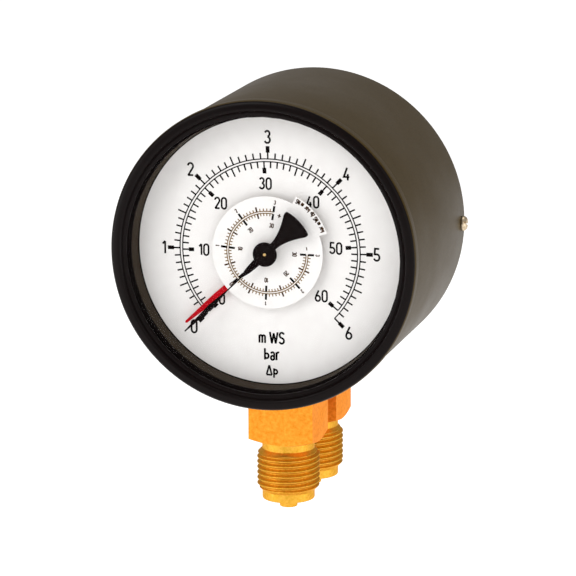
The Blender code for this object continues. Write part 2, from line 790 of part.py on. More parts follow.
def disc_assembly(looks, dial_axis):
    """Differential scale disc with its red mark, on a hollow arbor driven by the front system."""
    axis = empty("disc_axis", dial_axis)
    front_z, _ = stem_depths()
    arbor = tube_profile(ARBOR_BORE_R, ARBOR_R, front_z + BACK_PLATE[0] - 0.2 * MM, 3.5 * MM)
    turned("disc_arbor", arbor, looks["steel"], axis, facets=SMALL)
    pinion("front", looks["brass"], axis, front_z)
    bore = ARBOR_R + 0.1 * MM
    hub = [
        (bore, 3.1 * MM),
        (1.7 * MM, 3.1 * MM),
        (1.7 * MM, 1.3 * MM),
        (4.0 * MM, 1.3 * MM),
        (4.0 * MM, 0.6 * MM),
        (2.2 * MM, 0.6 * MM),
        (2.2 * MM, -3.0 * MM),
        (bore, -3.0 * MM),
    ]
    turned("disc_hub", hub, looks["brass"], axis, facets=SMALL)
    edge = arc(DISC_TAB_R, DISC_TAB[0], DISC_TAB[1], 8)
    edge += arc(DISC_R, DISC_TAB[1], DISC_TAB[0] + math.tau, 48)
    sheet("scale_disc", [edge, circle(1.9 * MM)], DISC_LAYER, looks["dial"], axis)
    strip = arc(4.0 * MM, MARK_ANGLE + 0.35, MARK_ANGLE + math.tau - 0.35, SMALL)
    reach = MARK_REACH - 0.45 * MM
    side = [(9.0 * MM, 1.1 * MM), (24.0 * MM, 1.1 * MM), (reach, 0.45 * MM)]
    strip += [turn_by(r, -half, MARK_ANGLE) for r, half in side]
    strip.append(polar(MARK_REACH, MARK_ANGLE))
    strip += [turn_by(r, half, MARK_ANGLE) for r, half in side[::-1]]
    sheet("red_mark", [strip, circle(1.9 * MM)], MARK_LAYER, looks["red"], axis)


def turn_by(along, across, angle):
    """A point given along and across a direction."""
    x = along * math.cos(angle) - across * math.sin(angle)
    y = along * math.sin(angle) + across * math.cos(angle)
    return x, y


def pointer_outline():
    """Needle towards its tip, round hub, and a fan-shaped tail with hollow sides."""
    needle = [(11.5, 0.18), (18.0, 0.18), (26.0, 0.8), (POINTER_REACH / MM, 0.08)]
    tail_end, tail_half_angle = 16.2, math.radians(18.4)
    fan_half = tail_end * math.sin(tail_half_angle)
    tail = []
    for step in range(6):
        part = step / 5
        tail.append((-(4.2 + 10.6 * part), 1.25 + (fan_half - 1.25) * part**1.7))
    crown = arc(tail_end, math.pi - tail_half_angle * 0.9, math.pi + tail_half_angle * 0.9, 6)
    hub_r = POINTER_HUB_R / MM
    front_gap = math.asin(1.5 / hub_r)
    rear_gap = math.asin(1.25 / hub_r)
    points = needle[::-1] + arc(hub_r, front_gap, math.pi - rear_gap, 8)
    points += tail + crown + [(x, -y) for x, y in tail[::-1]]
    points += arc(hub_r, math.pi + rear_gap, math.tau - front_gap, 8)
    points += [(x, -y) for x, y in needle]
    return [turn_by(x * MM, y * MM, POINTER_ANGLE) for x, y in points]


def pointer_assembly(looks, dial_axis):
    """Pointer on the long arbor that runs from the rear system through the hollow one."""
    axis = empty("pointer_axis", dial_axis)
    _, rear_z = stem_depths()
    arbor = rod_profile([
        (rear_z + BACK_PLATE[0] - 0.2 * MM, rear_z + 17.0 * MM, ARBOR_R),
        (rear_z + 17.0 * MM, 5.3 * MM, POINTER_ARBOR_R),
        (5.3 * MM, 6.3 * MM, 0.45 * MM),
    ])
    turned("pointer_arbor", arbor, looks["brass"], axis, facets=SMALL)
    pinion("rear", looks["brass"], axis, rear_z)
    bush = tube_profile(POINTER_ARBOR_R + 0.1 * MM, 1.9 * MM, 4.0 * MM, 5.3 * MM)
    turned("pointer_bush", bush, looks["brass"], axis, facets=SMALL)
    outline = pointer_outline()
    sheet("pointer", [outline, circle(0.6 * MM)], POINTER_LAYER, looks["black"], axis)


# ------------------------------------------------------------------ the gauge


def looks_of_parts():
    return {
        "case": material("case_paint", (0.11, 0.095, 0.07), 0.0, 0.55),
        "bezel": material("bezel_paint", (0.012, 0.011, 0.011), 0.0, 0.4),
        "brass": material("brass", (0.8, 0.52, 0.16), 1.0, 0.35),
        "socket": material("socket_brass", (0.85, 0.48, 0.12), 0.8, 0.45),
        "steel": material("steel", (0.6, 0.6, 0.6), 1.0, 0.3),
        "spring": material("spring_bronze", (0.7, 0.45, 0.25), 1.0, 0.3),
        "dial": material("dial_white", (0.9, 0.9, 0.88), 0.0, 0.5),
        "black": material("pointer_black", (0.01, 0.01, 0.01), 0.0, 0.5),
        "red": material("mark_red", (0.65, 0.02, 0.03), 0.0, 0.5),
        "glass": material("glass", (0.95, 0.97, 0.97), 0.0, 0.02),
        "rubber": material("rubber", (0.02, 0.02, 0.02), 0.0, 0.8),
    }


def build():
    clear_scene()
    looks = looks_of_parts()
    dial_axis = empty(
        "dial_axis", None, (0, -DIAL_SETBACK, AXIS_HEIGHT), (math.pi / 2, 0, 0)
    )
    case_shell(looks["case"], dial_axis)
    rear_cover(looks["case"], dial_axis)
    cover_screws(looks["steel"], dial_axis)
    bezel_ring(looks["bezel"], dial_axis)
    window(looks["glass"], looks["rubber"], looks["bezel"], dial_axis)
    dial(looks["dial"], looks["steel"], dial_axis)
    for name, stem_z in zip(("front", "rear"), stem_depths()):
        stem_y = -DIAL_SETBACK - stem_z
        socket(name + "_socket", looks["socket"], dial_axis, stem_y, stem_z)
        case_screws(name, looks["steel"], dial_axis, stem_z)
        tube = bourdon_mesh(TUBE_ROOT, TUBE_END, 20)
        place(name + "_bourdon_tube", tube, looks["brass"], dial_axis, (0, 0, stem_z))
        tube_end(name, looks, dial_axis, stem_z)
        link(name, looks, dial_axis, stem_z)
        sector(name, looks, dial_axis, stem_z)
        movement_frame(name, looks, dial_axis, stem_z)
        hairspring(name, looks, dial_axis, stem_z)
    disc_assembly(looks, dial_axis)
    pointer_assembly(looks, dial_axis)


build()
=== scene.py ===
"""Looks of a duplex pressure gauge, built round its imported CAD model.

Metres, +Z up. Pieces of the dial are drawn in the dial's own frame: X right, Y up and Z towards
the reader, with Z = 0 on the dial's face. Angles of the scales are degrees in that frame.
"""

import json
import math

import bmesh
import bpy
from mathutils import Matrix, Vector


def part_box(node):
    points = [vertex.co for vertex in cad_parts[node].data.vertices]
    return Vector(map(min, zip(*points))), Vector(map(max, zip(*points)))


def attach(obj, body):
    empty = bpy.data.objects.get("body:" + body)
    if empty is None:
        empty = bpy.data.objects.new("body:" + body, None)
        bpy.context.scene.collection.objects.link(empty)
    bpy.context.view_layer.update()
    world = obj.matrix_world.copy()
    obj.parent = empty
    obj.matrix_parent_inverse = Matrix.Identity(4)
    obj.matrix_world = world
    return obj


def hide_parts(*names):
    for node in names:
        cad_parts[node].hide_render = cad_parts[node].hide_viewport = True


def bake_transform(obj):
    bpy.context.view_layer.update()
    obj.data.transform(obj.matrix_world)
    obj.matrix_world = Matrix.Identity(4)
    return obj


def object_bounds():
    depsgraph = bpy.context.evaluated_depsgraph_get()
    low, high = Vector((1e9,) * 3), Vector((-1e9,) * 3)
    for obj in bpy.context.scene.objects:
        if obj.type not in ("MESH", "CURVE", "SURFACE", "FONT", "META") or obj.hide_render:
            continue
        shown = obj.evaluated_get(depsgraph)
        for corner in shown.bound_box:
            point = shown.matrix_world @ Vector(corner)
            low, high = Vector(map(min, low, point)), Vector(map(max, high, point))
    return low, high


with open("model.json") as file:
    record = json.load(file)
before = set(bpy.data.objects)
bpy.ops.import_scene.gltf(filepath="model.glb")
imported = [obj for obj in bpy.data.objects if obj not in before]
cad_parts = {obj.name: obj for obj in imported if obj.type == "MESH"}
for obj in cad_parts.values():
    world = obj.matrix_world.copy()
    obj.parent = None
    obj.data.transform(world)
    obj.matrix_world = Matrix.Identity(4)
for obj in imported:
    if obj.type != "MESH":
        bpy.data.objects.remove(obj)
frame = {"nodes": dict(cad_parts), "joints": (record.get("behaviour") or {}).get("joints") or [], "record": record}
CAD_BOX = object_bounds()

MM = 0.001
CASE = "gauge_case"
DISC = "differential_disc"
POINTER = "pointer_assembly"

# Places from the frame
JOINTS = {joint["name"]: joint for joint in frame["joints"]}
AXIS_X, _, AXIS_Z = JOINTS["pointer_turn"]["pos_m"]
DIAL_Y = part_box("dial_plate")[0].y
IN_DIAL = Matrix.Translation((AXIS_X, DIAL_Y, AXIS_Z)) @ Matrix.Rotation(math.pi / 2, 4, "X")


def dial_depths(node):
    """Lowest and highest Z of a node in the dial's frame, in millimetres."""
    low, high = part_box(node)
    return (DIAL_Y - high.y) / MM, (DIAL_Y - low.y) / MM


def radius_of(node):
    """Outer radius of a node that is turned round the dial's axis, in millimetres."""
    low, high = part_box(node)
    return (high.z - low.z) / 2 / MM


# Fineness of turned pieces
ROUND = 192
THREAD_COLUMNS = 96
THREAD_ROWS = 12

# Case and window, in millimetres
CASE_WALL = 1.5
SKIRT_R = 48.7
SKIRT_BORE_R = 47.9
SKIRT_TOP = 5.0
LIP_R = 45.6
LIP_DEPTH = 8.95
# Depth behind the bezel's front where the lighter case paint, painted light for the lit side of the black paint,
# begins
PAINTED_LIGHT_BEHIND = 0.85
WALL_R = 44.4
WALL_TOP = 5.4
WALL_SEAT_R = 47.5
COVER_DEPTH = -60.6
COVER_STEP = -54.0
COVER_THICK = 1.0

# Connections, in millimetres; a reach is measured down from the dial's axis
SPIGOT_LENGTH = 3.0
SPIGOT_R = 3.0
PORT_R = 1.75
COLLAR_R = 8.75
THREAD_R = 10.478
THREAD_ROOT_R = 9.316
THREAD_PITCH = 1.814
THREAD_LOW = 2.85
THREAD_HIGH = 17.35
BLOCK_LOW = 20.0
BLOCK_X = 22.0
BLOCK_Y = 20.0
BLOCK_CHAMFER = 20.0
BLOCK_REACH = 45.0
NECK_X = 12.0
NECK_Y = 14.0
NECK_REACH = (53.0, 27.0)

# Bourdon tubes: centre line in millimetres and degrees, and the stretch that bends
TUBE_R = 36.0
TUBE_HALF_THICK = 2.5
TUBE_ROOT, TUBE_END = 266.0, -5.0

# Scales of the dial, in millimetres and degrees
ZERO_ANGLE = 225.8
DEGREES_PER_BAR = 45.0
METRES_PER_BAR = 10.197
BAR_RING_R = 30.25
METRE_RING_R = 29.35
DISC_ZERO = 222.0
PRINT_LOW, PRINT_HIGH = 0.01, 0.05

# Pointer: the angle it stands at, in degrees
POINTER_ANGLE = 224.7

# Camera: where it stands, which way it looks, and how far it is rolled
CAMERA_PLACE = (0.3092, -1.1244, 0.3281)
CAMERA_AZIMUTH = 15.372
CAMERA_ELEVATION = 12.412
CAMERA_ROLL = -0.25
CAMERA_LENS = 226.0


# ------------------------------------------------------------------ materials


def noise(tree, scale, detail=4.0, roughness=0.6):
    """Noise over the object's own coordinates, whose scale is in features per metre."""
    made = tree.nodes.new("ShaderNodeTexNoise")
    made.inputs["Scale"].default_value = scale
    made.inputs["Detail"].default_value = detail
    made.inputs["Roughness"].default_value = roughness
    place = tree.nodes.new("ShaderNodeTexCoord")
    tree.links.new(place.outputs["Object"], made.inputs["Vector"])
    return made.outputs["Fac"]


def spread(tree, source, low, high, from_low=0.3, from_high=0.7):
    """A noise mapped to a range of values."""
    made = tree.nodes.new("ShaderNodeMapRange")
    for key, value in zip(("From Min", "From Max", "To Min", "To Max"), (from_low, from_high, low, high)):
        made.inputs[key].default_value = value
    tree.links.new(source, made.inputs["Value"])
    return made.outputs["Result"]


def between(tree, share, dark, light):
    """A colour between two, by a share from 0 to 1."""
    made = tree.nodes.new("ShaderNodeMix")
    made.data_type = "RGBA"
    made.inputs["A"].default_value = (*dark, 1)
    made.inputs["B"].default_value = (*light, 1)
    tree.links.new(share, made.inputs["Factor"])
    return made.outputs["Result"]


def surface(
    name, dark, light, rough, metallic=0.0, grain=900, cloud=40, bump=0.2, depth=0.02, gloss=0.5
):
    """Paint or metal: colour from a fine grain, roughness from a cloudy noise, relief from a finer one.

    Grain and cloud are noise scales, rough is the lowest and highest roughness, depth is the
    height of the relief in millimetres, and gloss is the strength of a paint's reflections.
    """
    made = bpy.data.materials.new(name)
    made.use_nodes = True
    tree = made.node_tree
    shader = tree.nodes["Principled BSDF"]
    shader.inputs["Metallic"].default_value = metallic
    shader.inputs["Specular IOR Level"].default_value = gloss
    if metallic:
        shader.inputs["Specular Tint"].default_value = (*[0.5 + 0.5 * value for value in light], 1)
    share = spread(tree, noise(tree, grain), 0.0, 1.0)
    tree.links.new(between(tree, share, dark, light), shader.inputs["Base Color"])
    tree.links.new(spread(tree, noise(tree, cloud, 6.0), *rough), shader.inputs["Roughness"])
    relief = tree.nodes.new("ShaderNodeBump")
    relief.inputs["Strength"].default_value = bump
    relief.inputs["Distance"].default_value = depth * MM
    tree.links.new(noise(tree, 2.2 * grain), relief.inputs["Height"])
    tree.links.new(relief.outputs["Normal"], shader.inputs["Normal"])
    return made


def clear_glass():
    """Clean instrument glass: nearly all of it lets the dial through, with a faint gloss."""
    made = surface(
        "window_glass", (0.02, 0.02, 0.02), (0.04, 0.04, 0.04), (0.03, 0.08), grain=300, cloud=12, bump=0.02
    )
    made.node_tree.nodes["Principled BSDF"].inputs["Alpha"].default_value = 0.03
    made.surface_render_method = "BLENDED"
    return made


LOOKS = {
    "window_glass": clear_glass(),
    # case_paint is painted light: a brown tone much lighter than the black bezel paint, standing for the same
    # black paint lit on the case, cover and bezel side
    "case_paint": surface(
        "case_paint", (0.037, 0.0215, 0.002), (0.055, 0.0335, 0.006), (0.38, 0.5),
        grain=1500, cloud=22, bump=0.5, depth=0.035, gloss=0.13,
    ),
    "bezel_paint": surface(
        "bezel_paint", (0.001, 0.0002, 0.0001), (0.004, 0.001, 0.0008), (0.26, 0.36),
        grain=1500, cloud=60, bump=0.4, depth=0.015, gloss=0.1,
    ),
    "wall_paint": surface(
        "wall_paint", (0.03, 0.02, 0.012), (0.045, 0.032, 0.02), (0.45, 0.6), cloud=60, depth=0.01, gloss=0.05
    ),
    "rubber": surface(
        "rubber", (0.003, 0.0015, 0.001), (0.006, 0.003, 0.003), (0.7, 0.85), grain=700, cloud=60, gloss=0.03
    ),
    "dial_white": surface(
        "dial_white", (0.86, 0.835, 0.815), (0.9, 0.88, 0.86), (0.42, 0.52),
        grain=260, cloud=30, bump=0.05, depth=0.005, gloss=0.3,
    ),
    "mark_red": surface(
        "mark_red", (0.42, 0.0, 0.005), (0.55, 0.003, 0.012), (0.35, 0.5),
        grain=600, cloud=80, bump=0.1, depth=0.01, gloss=0.05,
    ),
    "pointer_black": surface(
        "pointer_black", (0.001, 0.0, 0.0), (0.005, 0.0015, 0.0015), (0.4, 0.55),
        cloud=80, depth=0.01, gloss=0.03,
    ),
    "print_black": surface(
        "print_black", (0.001, 0.0, 0.0), (0.005, 0.002, 0.002), (0.5, 0.6),
        grain=1200, cloud=80, bump=0.1, depth=0.005, gloss=0.02,
    ),
    "print_brown": surface(
        "print_brown", (0.03, 0.01, 0.003), (0.08, 0.035, 0.012), (0.5, 0.6),
        grain=1200, cloud=80, bump=0.1, depth=0.005, gloss=0.05,
    ),
    "print_tan": surface(
        "print_tan", (0.16, 0.085, 0.018), (0.25, 0.145, 0.04), (0.5, 0.6),
        grain=1200, cloud=80, bump=0.1, depth=0.005, gloss=0.05,
    ),
    "socket_brass": surface(
        "socket_brass", (0.74, 0.23, 0.012), (1.0, 0.39, 0.045), (0.38, 0.55), 1.0,
        grain=800, cloud=90, bump=0.5, depth=0.05,
    ),
    "turned_brass": surface(
        "turned_brass", (0.6, 0.3, 0.02), (0.8, 0.42, 0.06), (0.38, 0.5), 1.0,
        grain=1100, cloud=120, depth=0.015,
    ),
    "movement_brass": surface(
        "movement_brass", (0.68, 0.42, 0.13), (0.82, 0.56, 0.22), (0.25, 0.4), 1.0,
        grain=1200, cloud=90, bump=0.15, depth=0.01,
    ),
    "spring_bronze": surface(
        "spring_bronze", (0.55, 0.3, 0.13), (0.7, 0.42, 0.2), (0.22, 0.34), 1.0,
        grain=1500, cloud=90, bump=0.1, depth=0.005,
    ),
    "steel": surface(
        "steel", (0.42, 0.33, 0.22), (0.66, 0.55, 0.4), (0.2, 0.36), 1.0, grain=1400, cloud=100, depth=0.01
    ),
}


# ------------------------------------------------------------------ meshes


def finished(name, work, material, body, stands_for=(), place=IN_DIAL, sharp=35):
    """Turns a bmesh in millimetres into a piece that rides on a body."""
    bmesh.ops.remove_doubles(work, verts=work.verts, dist=1e-4)
    bmesh.ops.dissolve_degenerate(work, edges=work.edges, dist=1e-5)
    bmesh.ops.recalc_face_normals(work, faces=work.faces)
    bmesh.ops.scale(work, vec=(MM, MM, MM), verts=work.verts)
    data = bpy.data.meshes.new(name)
    work.to_mesh(data)
    work.free()
    data.shade_smooth()
    data.set_sharp_from_angle(angle=math.radians(sharp))
    piece = bpy.data.objects.new(name, data)
    bpy.context.scene.collection.objects.link(piece)
    piece.matrix_world = place
    data.materials.append(material)
    if body:
        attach(piece, body)
    if stands_for:
        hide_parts(*stands_for)
    return piece


def filleted(corners, steps=4):
    """A closed profile of (x, y, cut) corners, each rounded over its cut."""
    points = []
    for before, corner, after in zip(corners[-1:] + corners[:-1], corners, corners[1:] + corners[:1]):
        here, cut = Vector(corner[:2]), corner[2]
        if not cut:
            points.append(here)
            continue
        ends = []
        for other in (before, after):
            way = Vector(other[:2]) - here
            ends.append(here + way.normalized() * min(cut, 0.45 * way.length))
        for step in range(steps + 1):
            t = step / steps
            points.append((1 - t) ** 2 * ends[0] + 2 * t * (1 - t) * here + t * t * ends[1])
    return [(point.x, point.y) for point in points]


def turned(profile, columns=ROUND):
    """A bmesh of a closed (radius, height) profile turned about Z."""
    work = bmesh.new()
    rings = []
    for column in range(columns):
        angle = math.tau * column / columns
        x, y = math.cos(angle), math.sin(angle)
        rings.append([work.verts.new((r * x, r * y, z)) for r, z in profile])
    for ring, following in zip(rings, rings[1:] + rings[:1]):
        for i in range(len(profile)):
            j = (i + 1) % len(profile)
            if profile[i][0] or profile[j][0]:
                work.faces.new((ring[i], following[i], following[j], ring[j]))
    return work


def block_of(size, centre=(0, 0, 0)):
    work = bmesh.new()
    bmesh.ops.create_cube(work, size=1)
    bmesh.ops.scale(work, vec=size, verts=work.verts)
    bmesh.ops.translate(work, vec=centre, verts=work.verts)
    return work


def helper(work, place):
    """A solid that shapes another one."""
    return finished("helper", work, LOOKS["steel"], None, place=place)


def carve(piece, tool, operation="DIFFERENCE"):
    """Cuts a piece by a helper, or joins them, for good."""
    modifier = piece.modifiers.new("carve", "BOOLEAN")
    modifier.operation = operation
    modifier.object = tool
    bpy.context.view_layer.update()
    graph = bpy.context.evaluated_depsgraph_get()
    data = bpy.data.meshes.new_from_object(piece.evaluated_get(graph))
    piece.modifiers.clear()
    piece.data = data
    bpy.data.objects.remove(tool)


def crisp(piece, sharp=35):
    piece.data.shade_smooth()
    piece.data.set_sharp_from_angle(angle=math.radians(sharp))


def polar(radius, degrees):
    angle = math.radians(degrees)
    return radius * math.cos(angle), radius * math.sin(angle)


def arc(radius, start, end, steps, centre=(0, 0)):
    """Points of an arc between two angles in degrees, both ends included."""
    points = []
    for step in range(steps + 1):
        x, y = polar(radius, start + (end - start) * step / steps)
        points.append((centre[0] + x, centre[1] + y))
    return points


def moved(points, scale=1.0, degrees=0.0, by=(0, 0)):
    x_way, y_way = polar(scale, degrees)
    return [(by[0] + x * x_way - y * y_way, by[1] + x * y_way + y * x_way) for x, y in points]


# ------------------------------------------------------------------ printing


def ribbon(work, points, half, low, high):
    """A flat line of constant width with mitred corners, between two heights."""
    rows = []
    for i, point in enumerate(points):
        here = Vector(point)
        ways = []
        if i:
            ways.append((here - Vector(points[i - 1])).normalized())
        if i + 1 < len(points):
            ways.append((Vector(points[i + 1]) - here).normalized())
        way = sum(ways, Vector((0, 0))).normalized()
        side = Vector((-way.y, way.x)) * half / max(0.5, way.dot(ways[0]))
        edge = (here + side, here - side)
        rows.append([work.verts.new((p.x, p.y, z)) for p, z in zip(edge * 2, (high, high, low, low))])
    for first, second in zip(rows, rows[1:]):
        for a, b in ((0, 1), (1, 3), (3, 2), (2, 0)):
            work.faces.new((first[a], first[b], second[b], second[a]))
    for row in (rows[0], rows[-1]):
        work.faces.new((row[0], row[1], row[3], row[2]))


def glyph_strokes(letter):
    """Strokes of a letter one unit high in a plain engineering hand, and its width."""
    round_top = (0.25, 0.75)
    round_foot = (0.25, 0.25)
    shapes = {
        "0": ([arc(0.25, 0, 180, 10, round_top) + arc(0.25, 180, 360, 10, round_foot) + [(0.5, 0.76)]], 0.5),
        "1": ([[(0.02, 0.78), (0.26, 1.0)], [(0.26, 1.0), (0.26, 0.0)]], 0.3),
        "2": ([arc(0.25, 170, -28, 12, round_top) + [(0.02, 0.0)], [(0.0, 0.03), (0.5, 0.03)]], 0.5),
        "3": ([
            arc(0.22, 160, -80, 10, (0.24, 0.77)),
            arc(0.25, 88, -160, 12, (0.24, 0.27)),
        ], 0.5),
        "4": ([[(0.3, 1.0), (0.0, 0.27), (0.52, 0.27)], [(0.37, 0.5), (0.37, 0.0)]], 0.52),
        "5": ([[(0.47, 1.0), (0.08, 1.0), (0.05, 0.55)] + arc(0.26, 110, -160, 12, (0.24, 0.3))], 0.5),
        "6": ([
            arc(0.25, 0, 360, 20, (0.25, 0.27)),
            [(0.34, 1.0), (0.1, 0.56), (0.01, 0.33)],
        ], 0.5),
        "m": ([
            [(0.0, 0.0), (0.0, 0.68)],
            [(0.0, 0.4)] + arc(0.14, 180, 0, 8, (0.15, 0.53)) + [(0.29, 0.0)],
            [(0.29, 0.4)] + arc(0.14, 180, 0, 8, (0.44, 0.53)) + [(0.58, 0.0)],
        ], 0.58),
        "W": ([
            [(0.0, 1.0), (0.2, 0.0)], [(0.2, 0.0), (0.4, 0.9)],
            [(0.4, 0.9), (0.6, 0.0)], [(0.6, 0.0), (0.8, 1.0)],
        ], 0.8),
        "S": ([arc(0.23, 20, 250, 12, (0.26, 0.75)) + arc(0.24, 70, -160, 12, (0.24, 0.26))], 0.5),
        "b": ([[(0.0, 1.0), (0.0, 0.0)], [(0.0, 0.2)] + arc(0.21, 240, 480, 12, (0.2, 0.34))], 0.42),
        "a": ([
            [(0.39, 0.0), (0.39, 0.48)] + arc(0.18, 20, 160, 8, (0.21, 0.5)),
            arc(0.18, 20, 340, 12, (0.2, 0.19)),
        ], 0.42),
        "r": ([[(0.0, 0.0), (0.0, 0.7)], [(0.0, 0.45)] + arc(0.19, 160, 60, 6, (0.2, 0.5))], 0.26),
        "p": ([[(0.0, 0.7), (0.0, -0.28)], arc(0.22, 140, -140, 12, (0.19, 0.34))], 0.42),
        "^": ([[(0.0, 0.0), (0.33, 1.0)], [(0.33, 1.0), (0.66, 0.0)], [(0.66, 0.0), (0.0, 0.0)]], 0.66),
        "+": ([[(0.0, 0.5), (0.7, 0.5)], [(0.35, 0.15), (0.35, 0.85)]], 0.7),
        "-": ([[(0.0, 0.5), (0.7, 0.5)]], 0.7),
        " ": ([], 0.15),
    }
    return shapes[letter]


def written(text, centre, height, degrees=0.0, gap=0.2, narrow=0.86):
    """Strokes of a word whose middle is at a point, turned by an angle."""
    strokes, along = [], 0.0
    for letter in text:
        shapes, width = glyph_strokes(letter)
        for shape in shapes:
            strokes.append([(along + narrow * x, y - 0.5) for x, y in shape])
        along += narrow * width + gap
    shift = (-(along - gap) / 2, 0.0)
    return [moved(moved(stroke, 1.0, 0.0, shift), height, degrees, centre) for stroke in strokes]


def tick(angle, inner, outer):
    return [polar(inner, angle), polar(outer, angle)]


def bar_angle(bar):
    return ZERO_ANGLE - DEGREES_PER_BAR * bar


def metre_angle(metres):
    return bar_angle(metres / METRES_PER_BAR)


def printed(name, lines, body, material, low=PRINT_LOW, high=PRINT_HIGH):
    """One layer of printing from (points, width) lines."""
    work = bmesh.new()
    for points, width in lines:
        ribbon(work, points, width / 2, low, high)
    return finished(name, work, material, body)


def scale_lines(angle_of, steps, base, minor, medium, major, block, thin=0.49, wide=1.25):
    """Ticks of a scale: every tenth is major and carries a block, every fifth is medium."""
    lines = []
    for step in range(steps + 1):
        angle = angle_of(step)
        if step % 10 == 0:
            lines.append((tick(angle, base, major), thin))
            lines.append((tick(angle, major, block), wide))
        elif step % 5 == 0:
            lines.append((tick(angle, base, medium), thin))
        else:
            lines.append((tick(angle, base, minor), thin))
    return lines


def dial_printing():
    black = LOOKS["print_black"]
    rings = [
        (arc(BAR_RING_R, bar_angle(0), bar_angle(6), 180), 0.36),
        (arc(METRE_RING_R, metre_angle(0), metre_angle(60), 180), 0.36),
    ]
    printed("scale_rings", rings, CASE, black)
    bar = scale_lines(lambda step: bar_angle(step / 10), 60, BAR_RING_R, 32.2, 33.1, 32.3, 34.4)
    printed("bar_ticks", bar, CASE, black)
    metre = scale_lines(metre_angle, 60, METRE_RING_R, 27.3, 26.5, 27.3, 25.5)
    printed("metre_ticks", metre, CASE, black)

    numbers = []
    for bar_value in range(7):
        reach = 35.7 + 1.7 * abs(math.sin(math.radians(bar_angle(bar_value))))
        centre = polar(reach, bar_angle(bar_value))
        numbers += [(stroke, 0.62) for stroke in written(str(bar_value), centre, 4.1)]
    printed("bar_numbers", numbers, CASE, black)
    numbers = []
    for metres in range(0, 61, 10):
        centre = polar(22.2 if metres else 23.2, metre_angle(metres))
        numbers += [(stroke, 0.58) for stroke in written(str(metres), centre, 3.6)]
    printed("metre_numbers", numbers, CASE, black)

    words = written("m WS", (0.6, -28.75), 3.8, gap=0.15)
    words += written("bar", (0.6, -34.3), 3.8, gap=0.18, narrow=0.8)
    printed("unit_names", [(stroke, 0.64) for stroke in words], CASE, black)


def difference_sign():
    """The general sign for a pressure difference, at the foot of the dial."""
    sign = written("^p", (0.6, -39.6), 3.2, gap=0.22)
    printed("difference_sign", [(stroke, 0.6) for stroke in sign], CASE, LOOKS["print_black"])


def disc_printing():
    """Difference scale of the disc: two branches that run both ways from the same zero."""
    top = dial_depths("scale_disc")[1]
    low, high = top + PRINT_LOW, top + PRINT_HIGH
    inner, outer = 12.95, 13.6
    fine, strong, numbers = [], [], []
    for bar_step in (-47.0, 45.9):
        end = DISC_ZERO + 3 * bar_step
        for ring in (inner, outer):
            fine.append((arc(ring, DISC_ZERO, end, 60), 0.3))
        for step in range(31):
            angle = DISC_ZERO + bar_step * step / 10
            if step % 5:
                lines, width, length = fine, 0.32, 0.9
            elif step % 10:
                lines, width, length = numbers, 0.5, 1.6
            else:
                lines, width, length = strong, 0.68, 2.0
            lines.append((tick(angle, outer, outer + length), width))
            lines.append((tick(angle, inner, inner - length), width))
        for bar_value in (1, 2, 3):
            angle = DISC_ZERO + bar_step * bar_value
            for text, reach, height in ((str(bar_value), 16.8, 1.2), (str(bar_value * 10), 9.1, 1.35)):
                strokes = written(text, polar(reach, angle), height, angle - 90, narrow=0.75)
                numbers += [(stroke, 0.28) for stroke in strokes]
    signs = (("0", 16.3, DISC_ZERO, 1.3), ("+", 12.9, 71.7, 1.9), ("-", 13.3, 8.4, 1.7))
    for text, reach, angle, height in signs:
        strokes = written(text, polar(reach, angle), height, angle - 90)
        numbers += [(stroke, 0.34) for stroke in strokes]
    printed("disc_scale", fine, DISC, LOOKS["print_tan"], low, high)
    printed("disc_numbers", numbers, DISC, LOOKS["print_brown"], low, high + 0.01)
    printed("disc_ticks", strong, DISC, LOOKS["print_black"], low, high + 0.02)


def tab_printing():
    """Row of general unit signs along the tab's outer edge, read from outside."""
    top = dial_depths("scale_disc")[1]
    letters = []
    signs = "bar m WS ^p bar m WS"
    start, end = 23.5, 60.0
    for i, letter in enumerate(signs):
        angle = start + (end - start) * i / (len(signs) - 1)
        strokes = written(letter, polar(20.0, angle), 1.4, angle + 90, narrow=0.8)
        letters += [(stroke, 0.32) for stroke in strokes]
    printed("tab_signs", letters, DISC, LOOKS["print_brown"], top + PRINT_LOW, top + PRINT_HIGH)


# ------------------------------------------------------------------ case and window


def bezel():
    """Black front ring; its side and rear take the lighter case paint, painted light standing for light falling on
    the same black paint.
    """
    outer = radius_of("bezel_ring")
    back, front = dial_depths("bezel_ring")
    profile = [
        (LIP_R, LIP_DEPTH, 0),
        (LIP_R, LIP_DEPTH + 0.5, 0.25),
        (LIP_R + 1.0, LIP_DEPTH + 0.7, 0.3),
        (LIP_R + 1.35, LIP_DEPTH + 0.35, 0.3),
        (LIP_R + 1.7, LIP_DEPTH + 0.95, 0.4),
        (outer - 3.0, front, 0.9),
        (outer - 0.7, front - 0.35, 0.9),
        (outer, front - 1.3, 0.6),
        (outer, SKIRT_TOP + 0.6, 0.35),
        (outer - 0.8, SKIRT_TOP, 0.3),
        (SKIRT_R, SKIRT_TOP, 0),
        (SKIRT_R, back, 0),
        (SKIRT_BORE_R, back, 0),
        (SKIRT_BORE_R, LIP_DEPTH, 0),
    ]
    work = turned(filleted(profile, 6))
    ring = finished("bezel", work, LOOKS["bezel_paint"], CASE, ["bezel_ring"])
    # Side and rear faces get the lighter case paint: painted light, where the black paint is lit from the side
    ring.data.materials.append(LOOKS["case_paint"])
    for face in ring.data.polygons:
        reach = math.hypot(face.center.x, face.center.y) / MM
        behind = face.center.z / MM < front - PAINTED_LIGHT_BEHIND
        face.material_index = int(reach > SKIRT_R + 0.1 and behind)


